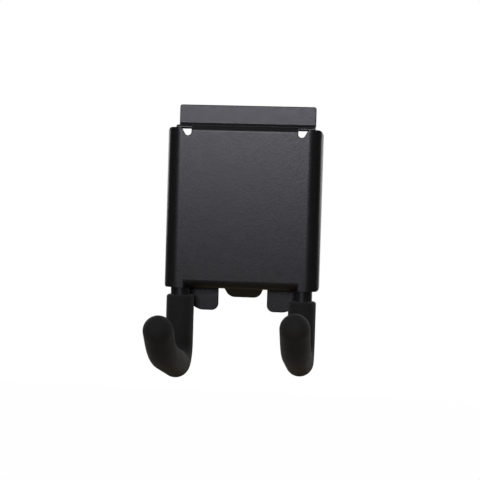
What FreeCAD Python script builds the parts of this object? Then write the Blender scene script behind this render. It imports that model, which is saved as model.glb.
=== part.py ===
import FreeCAD, Part
import math
import os

V = FreeCAD.Vector

# A double hook for a wall track: a folded steel plate, two bent steel rods welded
# behind its face, and a rubber sleeve on each rod.
# All sizes are in millimetres. X runs across the plate, the front faces -Y, +Z is up.
# While the pieces are drawn, y = 0 is the face where the lip and the tabs bear inside
# the track, and z = 0 is the underside of the bottom ledge.

# Folded plate
SHEET = 2.3
BEND_INNER = 1.5
PLATE_WIDTH = 95.0
PLATE_HEIGHT = 100.8
FLANGE_DEPTH = 17.0
FLANGE_TOP_GAP = 0.7
CORNER_RADIUS = 8.5
FOOT_BEND_INNER = 2.7
TOP_OUTLINE_RADIUS = 3.0
FOOT_OUTLINE_RADIUS = 2.0
EDGE_ROUND = 0.6

# Track that the plate hangs in
TRACK_EDGE = 1.5
TRACK_PLAY = 0.3

# Top ledge, which rises a little towards the rear, and the lip turned up from it
LEDGE_RISE = 6.0
LIP_INSET = 5.0
LIP_HEIGHT = 12.2
LIP_CORNER = 1.5
EAR_LENGTH = 10.0
EAR_SETBACK = 4.6

# Relief notch beside the neck
NOTCH_DEPTH = 4.9
NOTCH_FLOOR = 3.4
NOTCH_SLOPE = 30.0
NOTCH_ROUND = 2.1

# Tabs turned down from the bottom ledge
TAB_WIDTH = 18.8
TAB_DROP = 14.8
TAB_OUTER_ROUND = 9.5
TAB_INNER_ROUND = 4.2
TAB_BEHIND_ROD = 2.4

# Tongue between the tabs, a little to the right of the middle
TONGUE_OFFSET = 1.5
TONGUE_ROOT_WIDTH = 23.8
TONGUE_TIP_WIDTH = 18.4
TONGUE_LENGTH = 8.0
TONGUE_SETBACK = 7.3
TONGUE_ANGLE = 45.0
TONGUE_ROUND = 5.5

# Hook rods
ROD_DIAMETER = 12.0
ROD_INSET = 1.4
ROD_TO_FLANGE = 0.5
ROD_TOP_MARGIN = 18.0
ROD_CHAMFER = 0.8
ROD_SLOT_PLAY = 0.4
HEEL_RADIUS = 11.4
RUN_RISE = 13.2
RUN_LENGTH = 43.1
NOSE_RADIUS = 44.0
NOSE_RISE = 43.2
NOSE_LENGTH = 9.2
# The left rod is set lower in the plate than the right one.
LEFT_DROP = 46.0
RIGHT_DROP = 42.3

# Rubber sleeves
SLEEVE_DIAMETER = 17.0
SLEEVE_PLAY = 0.1
SLEEVE_SHOULDER = 1.6
LEFT_SLEEVE_TOP = 4.7
RIGHT_SLEEVE_TOP = 6.3

# Fillet welds, two stitches along the inner side of each rod
WELD_RISE = 3.2
WELD_SPREAD = 0.7
WELD_ROOT = 1.5
WELD_BULGE = 0.5
WELD_LENGTH = 24.0
WELD_END_MARGIN = 5.0

# Levels and planes worked out from the sizes above
ROD_RADIUS = ROD_DIAMETER / 2
SLEEVE_RADIUS = SLEEVE_DIAMETER / 2
HALF_WIDTH = PLATE_WIDTH / 2
FLAT_HALF = HALF_WIDTH - CORNER_RADIUS
BEND_OUTER = BEND_INNER + SHEET
FOOT_BEND_OUTER = FOOT_BEND_INNER + SHEET
FOOT_STEP_ROUND = 0.7 * SHEET
EAR_ROUND = 0.45 * SHEET
FLANGE_REAR = -(TRACK_EDGE + TRACK_PLAY)
FRONT = FLANGE_REAR - FLANGE_DEPTH
BACK = FRONT + SHEET
EAR_FRONT = FRONT + EAR_SETBACK
FLANGE_TOP = PLATE_HEIGHT - SHEET - FLANGE_TOP_GAP
NOTCH_BOTTOM = FLANGE_TOP - NOTCH_DEPTH
LIP_TOP = PLATE_HEIGHT + LIP_HEIGHT
LIP_HALF = HALF_WIDTH - LIP_INSET
NECK_HALF = LIP_HALF - EAR_LENGTH
NOTCH_MOUTH = NECK_HALF + NOTCH_FLOOR + NOTCH_DEPTH * math.tan(math.radians(NOTCH_SLOPE))
ROD_X = min(FLAT_HALF - ROD_INSET, HALF_WIDTH - SHEET - ROD_TO_FLANGE - ROD_RADIUS)
ROD_Y = BACK + ROD_RADIUS
ROD_TOP = PLATE_HEIGHT - ROD_TOP_MARGIN
TAB_OUTER = ROD_X - ROD_RADIUS + TAB_BEHIND_ROD
TAB_INNER = TAB_OUTER - TAB_WIDTH
TONGUE_ROOT = FRONT + TONGUE_SETBACK
LIP_MIDDLE = V(0, 0, (PLATE_HEIGHT + BEND_INNER + LIP_TOP) / 2)


def rounded_outline(corners):
    """Closed face through (point, radius) corners, with an arc at each rounded one."""
    count = len(corners)
    starts, ends, arcs = [], [], []
    for i, (point, radius) in enumerate(corners):
        to_last = (corners[i - 1][0] - point).normalize()
        to_next = (corners[(i + 1) % count][0] - point).normalize()
        if radius == 0:
            starts.append(point)
            ends.append(point)
            arcs.append(None)
            continue
        half = to_last.getAngle(to_next) / 2
        reach = radius / math.tan(half)
        inward = (to_last + to_next).normalize()
        starts.append(point + to_last * reach)
        ends.append(point + to_next * reach)
        nearest = point + inward * (radius / math.sin(half) - radius)
        arcs.append(Part.Arc(starts[i], nearest, ends[i]).toShape())
    edges = []
    for i in range(count):
        if arcs[i]:
            edges.append(arcs[i])
        following = starts[(i + 1) % count]
        if ends[i].distanceToPoint(following) > 1e-6:
            edges.append(Part.makeLine(ends[i], following))
    return Part.Face(Part.Wire(edges))


def across(profile_yz, x_low, x_high):
    """Solid from a (y, z, radius) profile, pushed across the plate."""
    face = rounded_outline([(V(x_low, y, z), r) for y, z, r in profile_yz])
    return face.extrude(V(x_high - x_low, 0, 0))


def through(outline_xz, y_low, y_high):
    """Solid from an (x, z, radius) outline, pushed from front to back."""
    face = rounded_outline([(V(x, y_low, z), r) for x, z, r in outline_xz])
    return face.extrude(V(0, y_high - y_low, 0))


def block(x_low, x_high, y_low, y_high, z_low, z_high):
    size = (x_high - x_low, y_high - y_low, z_high - z_low)
    return Part.makeBox(*size, V(x_low, y_low, z_low))


def on_both_sides(shape):
    """A shape drawn on the right, with its mirror image on the left."""
    return shape.fuse(shape.mirror(V(0, 0, 0), V(1, 0, 0)))


def soften(solid, radius, chosen):
    """Round the edges whose middle point passes the test."""
    edges = []
    for edge in solid.Edges:
        middle = edge.valueAt((edge.FirstParameter + edge.LastParameter) / 2)
        if chosen(edge, middle):
            edges.append(edge)
    return solid.makeFillet(radius, edges)


def face_and_flanges():
    """The plate's face with its upright bends and the two side flanges."""
    outer, inner = CORNER_RADIUS, CORNER_RADIUS - SHEET
    inside = HALF_WIDTH - SHEET
    plan = [
        (-HALF_WIDTH, FLANGE_REAR, 0), (-HALF_WIDTH, FRONT, outer),
        (HALF_WIDTH, FRONT, outer), (HALF_WIDTH, FLANGE_REAR, 0),
        (inside, FLANGE_REAR, 0), (inside, BACK, inner),
        (-inside, BACK, inner), (-inside, FLANGE_REAR, 0),
    ]
    face = rounded_outline([(V(x, y, 0), r) for x, y, r in plan])
    pan = face.extrude(V(0, 0, FLANGE_TOP))
    frame = through([
        (-HALF_WIDTH, 0, FOOT_OUTLINE_RADIUS), (HALF_WIDTH, 0, FOOT_OUTLINE_RADIUS),
        (HALF_WIDTH, FLANGE_TOP, TOP_OUTLINE_RADIUS), (-HALF_WIDTH, FLANGE_TOP, TOP_OUTLINE_RADIUS),
    ], FRONT, FLANGE_REAR)
    return pan.common(frame)


def relief_notch():
    """Round-bottomed notch beside the neck, its outer side leaning outwards."""
    above = PLATE_HEIGHT + 1
    lean = (above - NOTCH_BOTTOM) * math.tan(math.radians(NOTCH_SLOPE))
    notch = through([
        (NECK_HALF, NOTCH_BOTTOM, NOTCH_ROUND),
        (NECK_HALF + NOTCH_FLOOR, NOTCH_BOTTOM, NOTCH_ROUND),
        (NECK_HALF + NOTCH_FLOOR + lean, above, 0), (NECK_HALF, above, 0),
    ], FRONT - 1, FRONT + CORNER_RADIUS)
    return on_both_sides(notch)


def top_fold():
    """Neck, top ledge with its two ears, and the lip turned up behind it."""
    rise = math.radians(LEDGE_RISE)

    def ledge_top(y):
        return PLATE_HEIGHT + y * math.tan(rise)

    def ledge_under(y):
        return ledge_top(y) - SHEET / math.cos(rise)
    section = [
        (FRONT, NOTCH_BOTTOM, 0), (FRONT, ledge_top(FRONT), BEND_OUTER),
        (0, ledge_top(0), BEND_INNER), (0, LIP_TOP, 0),
        (SHEET, LIP_TOP, 0), (SHEET, ledge_under(SHEET), BEND_OUTER),
        (BACK, ledge_under(BACK), BEND_INNER), (BACK, NOTCH_BOTTOM, 0),
    ]
    strip = across(section, -LIP_HALF, LIP_HALF)
    side = block(NECK_HALF, LIP_HALF, FRONT, EAR_FRONT, NOTCH_BOTTOM, PLATE_HEIGHT)
    strip = strip.cut(on_both_sides(side))
    lip_frame = through([
        (-LIP_HALF, NOTCH_BOTTOM, 0), (LIP_HALF, NOTCH_BOTTOM, 0),
        (LIP_HALF, LIP_TOP, LIP_CORNER), (-LIP_HALF, LIP_TOP, LIP_CORNER),
    ], FRONT, SHEET)
    strip = strip.common(lip_frame)
    clear = PLATE_HEIGHT + BEND_INNER

    def front_of_ear(edge, middle):
        on_ear = abs(middle.x) > NECK_HALF + 0.01 and abs(middle.y - EAR_FRONT) < 0.01
        return on_ear and abs(edge.tangentAt(edge.FirstParameter).x) > 0.99
    strip = soften(strip, EAR_ROUND, front_of_ear)

    def rim_of_lip(edge, middle):
        upright = abs(middle.x) > LIP_HALF - LIP_CORNER and middle.z > clear
        return upright or middle.z > LIP_TOP - 0.01
    return soften(strip, EDGE_ROUND, rim_of_lip)


def foot_section(rear_points):
    """Profile of the bottom bend, closed by the points of whatever lies behind it."""
    start = FOOT_BEND_OUTER + SHEET
    front_part = [(BACK, start, 0), (FRONT, start, 0), (FRONT, 0, FOOT_BEND_OUTER)]
    return front_part + rear_points + [(BACK, SHEET, FOOT_BEND_INNER)]


def bottom_ledge():
    """Roll at the foot of the face and the flat that carries the tabs and the tongue."""
    rear = TONGUE_ROOT
    return across(foot_section([(rear, 0, 0), (rear, SHEET, 0)]), -TAB_OUTER, TAB_OUTER)


def tabs():
    """The two tabs, which run on from the bottom ledge and turn down at the track."""
    section = foot_section([
        (0, 0, BEND_INNER), (0, -TAB_DROP, 0),
        (SHEET, -TAB_DROP, 0), (SHEET, SHEET, BEND_OUTER),
    ])
    strip = across(section, TAB_INNER, TAB_OUTER)
    start = FOOT_BEND_OUTER + SHEET
    frame = through([
        (TAB_INNER, -TAB_DROP, TAB_INNER_ROUND), (TAB_OUTER, -TAB_DROP, TAB_OUTER_ROUND),
        (TAB_OUTER, start, 0), (TAB_INNER, start, 0),
    ], FRONT, SHEET)
    tab = strip.common(frame)

    def rim_of_tab(edge, middle):
        return middle.z < -BEND_INNER - 0.01 and edge.Length > SHEET + 0.2
    return on_both_sides(soften(tab, EDGE_ROUND, rim_of_tab))


def tongue():
    """Short tapered tongue, bent back and down between the tabs."""
    turn = math.radians(TONGUE_ANGLE)
    tip_y = TONGUE_ROOT + TONGUE_LENGTH * math.cos(turn)
    tip_z = -TONGUE_LENGTH * math.sin(turn)
    section = foot_section([
        (TONGUE_ROOT, 0, BEND_INNER), (tip_y, tip_z, 0),
        (tip_y + SHEET * math.sin(turn), tip_z + SHEET * math.cos(turn), 0),
        (TONGUE_ROOT + SHEET * math.tan(turn / 2), SHEET, BEND_OUTER),
    ])
    root, tip = TONGUE_ROOT_WIDTH / 2, TONGUE_TIP_WIDTH / 2
    strip = across(section, TONGUE_OFFSET - root, TONGUE_OFFSET + root)
    corners = [
        (-root, FOOT_BEND_OUTER + SHEET, 0), (-root, 0, 0), (-tip, tip_z, TONGUE_ROUND),
        (tip, tip_z, TONGUE_ROUND), (root, 0, 0), (root, FOOT_BEND_OUTER + SHEET, 0),
    ]
    outline = [(TONGUE_OFFSET + x, z, radius) for x, z, radius in corners]
    return strip.common(through(outline, FRONT, SHEET))


def rod_slots():
    """Slots in the foot for the rods to pass down behind the face."""
    radius = ROD_RADIUS + ROD_SLOT_PLAY
    tall = 3 * FOOT_BEND_OUTER
    slot = Part.makeCylinder(radius, tall, V(ROD_X, ROD_Y, -FOOT_BEND_OUTER))
    behind_face = block(0, HALF_WIDTH - SHEET, BACK, SHEET, -FOOT_BEND_OUTER, tall)
    return on_both_sides(slot.common(behind_face))


def ease_notches(plate):
    """Small rounds along the front edges of the notches and of the neck beside them."""
    def notch(edge, middle):
        beside_neck = NECK_HALF - 0.01 < abs(middle.x) < NOTCH_MOUTH
        level = NOTCH_BOTTOM - 0.01 < middle.z < FLANGE_TOP - EDGE_ROUND
        return beside_neck and level and abs(middle.y - FRONT) < 0.01
    return soften(plate, EDGE_ROUND, notch)


def ease_foot(plate):
    """Round where the roll at the foot meets the flat corner in front of each rod."""
    def step(edge, middle):
        at_step = abs(abs(middle.x) - TAB_OUTER) < 0.01
        return at_step and abs(middle.y - FRONT) < 0.01 and middle.z < FOOT_BEND_OUTER
    return soften(plate, FOOT_STEP_ROUND, step)


def bracket_plate():
    pan = face_and_flanges()
    window = block(-NECK_HALF, NECK_HALF, FRONT, BACK, NOTCH_BOTTOM, PLATE_HEIGHT)
    below = block(-TAB_OUTER, TAB_OUTER, FRONT, BACK, 0, FOOT_BEND_OUTER)
    pan = pan.cut(window).cut(relief_notch()).cut(below)
    plate = pan.fuse([top_fold(), bottom_ledge(), tabs(), tongue()])
    plate = plate.cut(rod_slots()).removeSplitter()
    return ease_foot(ease_notches(plate))


def hook_route(side, drop, top, extra=0.0):
    """Centreline of a rod from the given level down, forward and up to its end."""
    x = side * ROD_X
    rise, nose = math.radians(RUN_RISE), math.radians(NOSE_RISE)

    def at(forward, z):
        return V(x, ROD_Y - forward, z)
    heel_z = HEEL_RADIUS - drop

    def on_heel(angle):
        return at(HEEL_RADIUS + HEEL_RADIUS * math.cos(angle), heel_z + HEEL_RADIUS * math.sin(angle))
    heel_end = 1.5 * math.pi + rise
    heel = Part.Arc(on_heel(math.pi), on_heel((math.pi + heel_end) / 2), on_heel(heel_end))
    run_start = on_heel(heel_end)
    run_end = run_start + V(0, -math.cos(rise), math.sin(rise)) * RUN_LENGTH
    centre = run_end + V(0, math.sin(rise), math.cos(rise)) * NOSE_RADIUS

    def on_nose(angle):
        return centre + V(0, -math.sin(angle), -math.cos(angle)) * NOSE_RADIUS
    bend = Part.Arc(on_nose(rise), on_nose((rise + nose) / 2), on_nose(nose))
    end = on_nose(nose) + V(0, -math.cos(nose), math.sin(nose)) * (NOSE_LENGTH + extra)
    edges = [
        Part.makeLine(at(0, top), at(0, heel_z)), heel.toShape(),
        Part.makeLine(run_start, run_end), bend.toShape(),
        Part.makeLine(on_nose(nose), end),
    ]
    return Part.Wire(edges)


def bar_along(route, start, radius):
    """Round bar along a route that starts straight down."""
    disc = Part.Face(Part.Wire(Part.makeCircle(radius, start, V(0, 0, -1))))
    return route.makePipe(disc)


def hook_rod(side, drop):
    route = hook_route(side, drop, ROD_TOP)
    rod = bar_along(route, V(side * ROD_X, ROD_Y, ROD_TOP), ROD_RADIUS)

    def upper_rim(edge, middle):
        return middle.z > ROD_TOP - 0.01 and isinstance(edge.Curve, Part.Circle)
    rims = [e for e in rod.Edges if upper_rim(e, e.valueAt(e.FirstParameter))]
    return rod.makeChamfer(ROD_CHAMFER, rims)


def grip_sleeve(side, drop, gap_below_plate):
    """Closed rubber sleeve with a domed nose, pushed over the rod to its end."""
    top = -gap_below_plate
    mouth = V(side * ROD_X, ROD_Y, top)
    route = hook_route(side, drop, top)
    skin = bar_along(route, mouth, SLEEVE_RADIUS)

    def shoulder(edge, middle):
        return middle.z > top - 0.01 and isinstance(edge.Curve, Part.Circle)
    rims = [e for e in skin.Edges if shoulder(e, e.valueAt(e.FirstParameter))]
    skin = skin.makeFillet(SLEEVE_SHOULDER, rims)
    tip = route.OrderedEdges[-1]
    nose, heading = tip.valueAt(tip.LastParameter), tip.tangentAt(tip.LastParameter)
    dome = Part.makeSphere(SLEEVE_RADIUS, nose, heading, 0, 90, 360)
    skin = skin.fuse(dome).removeSplitter()
    bore_route = hook_route(side, drop, top + 1, SLEEVE_PLAY)
    bore = bar_along(bore_route, mouth + V(0, 0, 1), ROD_RADIUS + SLEEVE_PLAY)
    return skin.cut(bore)


def weld_stitch(side, outward, low):
    """One fillet weld in the corner between a rod and the back of the face."""
    x = side * ROD_X

    def at(sideways, height):
        return V(x + outward * sideways, BACK + height, low)
    on_rod = math.sqrt(ROD_RADIUS ** 2 - (ROD_RADIUS - WELD_RISE) ** 2)
    toe = at(on_rod + WELD_SPREAD, 0)
    crest = at(on_rod, WELD_RISE)
    bulge = (toe + crest) * 0.5 + V(outward * WELD_BULGE, WELD_BULGE / 2, 0)
    edges = [
        Part.makeLine(at(WELD_ROOT, 0), toe), Part.Arc(toe, bulge, crest).toShape(),
        Part.makeLine(crest, at(WELD_ROOT, WELD_RISE)),
        Part.makeLine(at(WELD_ROOT, WELD_RISE), at(WELD_ROOT, 0)),
    ]
    bead = Part.Face(Part.Wire(edges)).extrude(V(0, 0, WELD_LENGTH))
    rod = Part.makeCylinder(ROD_RADIUS, WELD_LENGTH, V(x, ROD_Y, low))
    return bead.cut(rod)


def save(node, shape):
    """Write a piece with the middle of the lip's bearing face as its origin."""
    moved = shape.copy()
    moved.translate(-LIP_MIDDLE)
    moved.exportStep("parts/" + node + ".step")


os.makedirs("parts", exist_ok=True)
save("bracket_plate", bracket_plate())
for name, side, drop, sleeve_top in [
    ("left", -1, LEFT_DROP, LEFT_SLEEVE_TOP),
    ("right", 1, RIGHT_DROP, RIGHT_SLEEVE_TOP),
]:
    save(name + "_hook_rod", hook_rod(side, drop))
    save(name + "_grip_sleeve", grip_sleeve(side, drop, sleeve_top))
    for place, low in [
        ("upper", ROD_TOP - WELD_END_MARGIN - WELD_LENGTH),
        ("lower", FOOT_BEND_OUTER + WELD_END_MARGIN),
    ]:
        stitch = weld_stitch(side, -side, low)
        save(name + "_" + place + "_weld", stitch)
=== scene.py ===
import math

import bpy
from mathutils import Matrix, Vector


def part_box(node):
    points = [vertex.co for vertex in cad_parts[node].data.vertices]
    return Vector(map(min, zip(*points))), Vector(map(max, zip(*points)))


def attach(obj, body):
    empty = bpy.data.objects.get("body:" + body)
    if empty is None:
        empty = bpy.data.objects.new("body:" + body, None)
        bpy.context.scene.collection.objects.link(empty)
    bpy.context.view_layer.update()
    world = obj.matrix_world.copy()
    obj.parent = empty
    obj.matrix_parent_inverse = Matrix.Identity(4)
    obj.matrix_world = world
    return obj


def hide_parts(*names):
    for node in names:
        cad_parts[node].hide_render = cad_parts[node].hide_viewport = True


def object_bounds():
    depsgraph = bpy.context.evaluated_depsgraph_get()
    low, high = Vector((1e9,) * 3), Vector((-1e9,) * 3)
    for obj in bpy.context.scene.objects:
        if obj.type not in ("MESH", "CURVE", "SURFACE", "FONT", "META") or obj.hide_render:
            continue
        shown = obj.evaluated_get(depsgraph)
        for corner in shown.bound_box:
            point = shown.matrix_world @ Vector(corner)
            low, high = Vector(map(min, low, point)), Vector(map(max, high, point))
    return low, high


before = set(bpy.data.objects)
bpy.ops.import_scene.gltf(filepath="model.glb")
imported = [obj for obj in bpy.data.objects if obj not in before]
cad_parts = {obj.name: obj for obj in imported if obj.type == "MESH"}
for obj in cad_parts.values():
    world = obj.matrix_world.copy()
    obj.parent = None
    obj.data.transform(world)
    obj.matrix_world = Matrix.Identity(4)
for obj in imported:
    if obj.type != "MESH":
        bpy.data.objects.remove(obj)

# A double hook for a wall track: a black powder-coated plate, two steel rods welded
# behind it and a rubber sleeve on each rod. Everything is in metres.
CAD_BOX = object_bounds()
MM = 0.001

# Camera, found from the outlines in the photograph
IMAGE_SIDE = 480
FOCAL_PIXELS = 1204.5
SENSOR_WIDTH = 36.0
CAMERA_AIM = Vector((-0.00246, -0.002, -0.07804))
CAMERA_DISTANCE = 0.7478
CAMERA_YAW = 5.43
CAMERA_PITCH = 1.84
CAMERA_ROLL = 1.66

# Studio
LAMP_AIM = Vector((0, -0.03, -0.08))
FLOOR_DROP = 0.25
FLOOR_SIDE = 3.0
# Share of the floor that the camera sees as plain white; the rest keeps the shadow
FLOOR_WHITE = 0.99
ROOM_STRENGTH = 0.06
# How far a direction points to the rear where gloss starts and ends turning white
BACKDROP_START = 0.80
BACKDROP_FULL = 0.95

# Nearly all of the noise lies between these values
NOISE_LOW = 0.3
NOISE_HIGH = 0.7

# Weld beads
BEAD_RIPPLE = 1.5 * MM
BEAD_WIDTH = 4.6 * MM
BEAD_HEIGHT = 3.4 * MM
BEAD_VOXEL = 0.22 * MM


def linear(hex_colour):
    """An sRGB hex colour as linear RGBA."""
    def channel(value):
        if value <= 0.04045:
            return value / 12.92
        return ((value + 0.055) / 1.055) ** 2.4
    parts = [int(hex_colour[i:i + 2], 16) / 255 for i in (1, 3, 5)]
    return (*[channel(part) for part in parts], 1.0)


def add(tree, kind, settings=None, **links):
    """Add a node, set its properties and sockets, and link what is given as a socket.

    A socket goes by its name, with _ for a space, or by its number, such as i1.
    """
    node = tree.nodes.new(kind)
    for name, value in (settings or {}).items():
        setattr(node, name, value)
    for name, value in links.items():
        key = int(name[1:]) if name[0] == "i" and name[1:].isdigit() else name.replace("_", " ")
        if isinstance(value, bpy.types.NodeSocket):
            tree.links.new(value, node.inputs[key])
        else:
            node.inputs[key].default_value = value
    return node


def new_material(name):
    """An empty material with its output, and its object coordinates in millimetres."""
    material = bpy.data.materials.new(name)
    material.use_nodes = True
    tree = material.node_tree
    tree.nodes.clear()
    place = add(tree, "ShaderNodeTexCoord")
    in_mm = add(tree, "ShaderNodeMapping", Vector=place.outputs["Object"],
                Scale=(1 / MM, 1 / MM, 1 / MM))
    output = add(tree, "ShaderNodeOutputMaterial")
    return material, tree, in_mm.outputs["Vector"], output


def noise(tree, where, size, detail=3.0):
    """Soft noise with lumps of the given size in millimetres."""
    lumps = add(tree, "ShaderNodeTexNoise", Vector=where, Scale=1 / size, Detail=detail)
    return lumps.outputs["Fac"]


def blotches(tree, where, size, low, high):
    """Blotches of the given size in millimetres, between two values."""
    spread = add(tree, "ShaderNodeMapRange", Value=noise(tree, where, size),
                 From_Min=NOISE_LOW, From_Max=NOISE_HIGH, To_Min=low, To_Max=high)
    return spread.outputs["Result"]


def two_shades(tree, where, size, dark, light):
    """Blotches of the given size in millimetres, between two close colours.

    The node's colours are its sockets 6 and 7, and its mixed colour is output 2.
    """
    shades = add(tree, "ShaderNodeMix", {"data_type": "RGBA"},
                 Factor=blotches(tree, where, size, 0.0, 1.0), i6=linear(dark), i7=linear(light))
    return shades.outputs[2]


def powder_coat():
    """Polyester powder coat, baked on steel: semi-gloss black with a soft orange peel
    that breaks up the edge of every reflection, and a slightly uneven sheen."""
    material, tree, where, output = new_material("powder_coat_black")
    shade_size = 5.0
    sheen_size = 4.0
    peel_size = 1.6
    grit_size = 0.35
    peel = add(tree, "ShaderNodeBump", Strength=0.6, Distance=0.05 * MM,
               Height=noise(tree, where, peel_size, 2.0))
    grit = add(tree, "ShaderNodeBump", Strength=0.35, Distance=0.02 * MM,
               Height=noise(tree, where, grit_size, 1.0), Normal=peel.outputs["Normal"])
    skin = add(tree, "ShaderNodeBsdfPrincipled", IOR=1.5,
               Base_Color=two_shades(tree, where, shade_size, "#151517", "#18181A"),
               Roughness=blotches(tree, where, sheen_size, 0.28, 0.32),
               Normal=grit.outputs["Normal"])
    tree.links.new(skin.outputs["BSDF"], output.inputs["Surface"])
    return material


def sleeve_rubber():
    """Black rubber, dip moulded: matt, with a fine pebbled grain and a faint grey bloom
    where it has been handled."""
    material, tree, where, output = new_material("dipped_rubber_black")
    shade_size = 22.0
    bloom_size = 16.0
    pebble_size = 0.7
    pebble = add(tree, "ShaderNodeBump", Strength=0.8, Distance=0.05 * MM,
                 Height=noise(tree, where, pebble_size, 2.0))
    skin = add(tree, "ShaderNodeBsdfPrincipled", IOR=1.5, Specular_IOR_Level=0.22,
               Sheen_Weight=0.10, Sheen_Roughness=0.5,
               Base_Color=two_shades(tree, where, shade_size, "#1E1E1E", "#252422"),
               Roughness=blotches(tree, where, bloom_size, 0.74, 0.84),
               Normal=pebble.outputs["Normal"])
    tree.links.new(skin.outputs["BSDF"], output.inputs["Surface"])
    return material


def deselect():
    bpy.ops.object.select_all(action="DESELECT")


def weld_bead(node):
    """A run of overlapping ripples in the corner between a rod and the plate."""
    low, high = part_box(node)
    centre = (low + high) / 2
    deselect()
    bpy.ops.mesh.primitive_uv_sphere_add(
        segments=24, ring_count=12, radius=1.0,
        location=(centre.x, centre.y, low.z + BEAD_RIPPLE / 2),
        scale=(BEAD_WIDTH / 2, BEAD_HEIGHT / 2, BEAD_RIPPLE))
    bead = bpy.context.object
    bead.name = node + "_bead"
    bpy.ops.object.transform_apply(location=True, rotation=True, scale=True)
    row = bead.modifiers.new("row", "ARRAY")
    row.count = int((high.z - low.z) / BEAD_RIPPLE)
    row.use_relative_offset = False
    row.use_constant_offset = True
    row.constant_offset_displace = (0, 0, BEAD_RIPPLE)
    skin = bead.modifiers.new("skin", "REMESH")
    skin.mode = "VOXEL"
    skin.voxel_size = BEAD_VOXEL
    for name in ("row", "skin"):
        bpy.ops.object.modifier_apply(modifier=name)
    bpy.ops.object.shade_smooth()
    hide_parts(node)
    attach(bead, "root")
    return bead


def dress(piece, material):
    """Give the whole piece one material."""
    piece.data.materials.clear()
    piece.data.materials.append(material)


def make_camera():
    """A camera that looks at CAMERA_AIM from the front, turned as in the photograph."""
    data = bpy.data.cameras.new("camera")
    data.sensor_width = SENSOR_WIDTH
    data.lens = SENSOR_WIDTH * FOCAL_PIXELS / IMAGE_SIDE
    camera = bpy.data.objects.new("camera", data)
    bpy.context.scene.collection.objects.link(camera)
    yaw, pitch, roll = (math.radians(a) for a in (CAMERA_YAW, CAMERA_PITCH, CAMERA_ROLL))
    turn = (Matrix.Rotation(yaw, 4, "Z") @ Matrix.Rotation(math.pi / 2 - pitch, 4, "X")
            @ Matrix.Rotation(roll, 4, "Z"))
    back = turn @ Vector((0, 0, 1))
    camera.matrix_world = Matrix.Translation(CAMERA_AIM + back * CAMERA_DISTANCE) @ turn
    bpy.context.scene.camera = camera


def softbox(name, place, width, height, radiance, colour="#FFFFFF"):
    """A rectangular lamp of even brightness that faces the hook."""
    data = bpy.data.lights.new(name, "AREA")
    data.shape = "RECTANGLE"
    data.size, data.size_y = width, height
    data.energy = radiance * math.pi * width * height
    data.color = linear(colour)[:3]
    lamp = bpy.data.objects.new(name, data)
    bpy.context.scene.collection.objects.link(lamp)
    lamp.location = place
    lamp.rotation_euler = (LAMP_AIM - Vector(place)).to_track_quat("-Z", "Y").to_euler()


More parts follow.
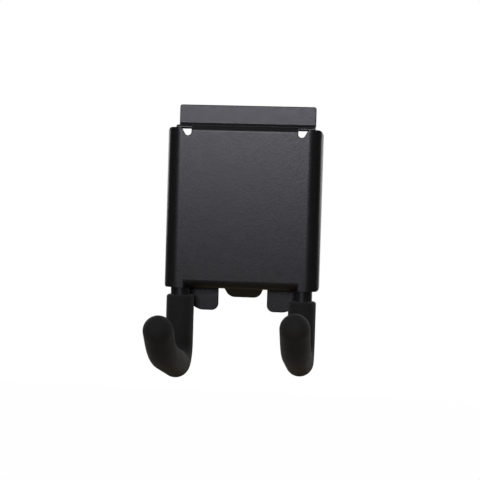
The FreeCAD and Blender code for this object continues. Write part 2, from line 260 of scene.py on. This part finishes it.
def white_room():
    """A dim room whose backdrop is white to the camera and, behind the object, in gloss."""
    world = bpy.data.worlds.new("room")
    bpy.context.scene.world = world
    world.use_nodes = True
    tree = world.node_tree
    tree.nodes.clear()
    path = add(tree, "ShaderNodeLightPath")
    place = add(tree, "ShaderNodeTexCoord")
    axes = add(tree, "ShaderNodeSeparateXYZ", Vector=place.outputs["Generated"])
    behind = add(tree, "ShaderNodeMapRange", Value=axes.outputs["Y"],
                 From_Min=BACKDROP_START, From_Max=BACKDROP_FULL, To_Min=0.0, To_Max=1.0)
    shiny = add(tree, "ShaderNodeMath", {"operation": "MAXIMUM"},
                i0=path.outputs["Is Glossy Ray"], i1=path.outputs["Is Transmission Ray"])
    in_gloss = add(tree, "ShaderNodeMath", {"operation": "MULTIPLY"},
                   i0=shiny.outputs[0], i1=behind.outputs["Result"])
    seen = add(tree, "ShaderNodeMath", {"operation": "MAXIMUM"},
               i0=path.outputs["Is Camera Ray"], i1=in_gloss.outputs[0])
    room = add(tree, "ShaderNodeBackground", Color=linear("#F4F4F8"), Strength=ROOM_STRENGTH)
    white = add(tree, "ShaderNodeBackground", Color=linear("#FFFFFF"), Strength=1.0)
    mix = add(tree, "ShaderNodeMixShader", Fac=seen.outputs[0], i1=room.outputs[0],
              i2=white.outputs[0])
    output = add(tree, "ShaderNodeOutputWorld")
    tree.links.new(mix.outputs[0], output.inputs["Surface"])


def pale_floor():
    """Matt paper, warm to what it lights, that the camera sees as white."""
    level = CAD_BOX[0].z - FLOOR_DROP
    deselect()
    bpy.ops.mesh.primitive_plane_add(size=FLOOR_SIDE, location=(0, 0, level))
    floor = bpy.context.object
    floor.name = "floor"
    bpy.ops.object.transform_apply(location=True, rotation=True, scale=True)
    material, tree, _, output = new_material("floor_paper")
    path = add(tree, "ShaderNodeLightPath")
    share = add(tree, "ShaderNodeMath", {"operation": "MULTIPLY"},
                i0=path.outputs["Is Camera Ray"], i1=FLOOR_WHITE)
    paper = add(tree, "ShaderNodeBsdfDiffuse", Color=linear("#9C8E72"))
    white = add(tree, "ShaderNodeEmission", Color=linear("#FFFFFF"), Strength=1.0)
    mix = add(tree, "ShaderNodeMixShader", Fac=share.outputs[0], i1=paper.outputs[0],
              i2=white.outputs[0])
    tree.links.new(mix.outputs[0], output.inputs["Surface"])
    dress(floor, material)


def light_studio():
    """The front lamp gives the face its gloss, bright at the top and dark at the foot. The
    high pair lights the rubber, and the rear pair shows the rods and welds from behind."""
    white_room()
    pale_floor()
    softbox("front_softbox", (-0.2, -2.2, 0.45), 1.0, 0.68, 7.3, "#F3F1FF")
    softbox("top_softbox", (-0.3, -0.2, 1.5), 1.2, 1.0, 0.15)
    for side, x in (("left", -1.3), ("right", 1.3)):
        softbox(side + "_softbox", (x, -1.0, 1.3), 0.9, 0.9, 2.6)
        softbox("rear_" + side + "_softbox", (x, 1.3, 0.35), 0.9, 0.9, 2.2)


def finish_pieces():
    """Dress the CAD nodes, and put a rippled bead in the place of each weld."""
    coat, rubber = powder_coat(), sleeve_rubber()
    for node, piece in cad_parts.items():
        dress(piece, rubber if node.endswith("_grip_sleeve") else coat)
    for node in sorted(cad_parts):
        if node.endswith("_weld"):
            dress(weld_bead(node), coat)


make_camera()
light_studio()
finish_pieces()
bpy.context.scene.view_settings.view_transform = "Standard"
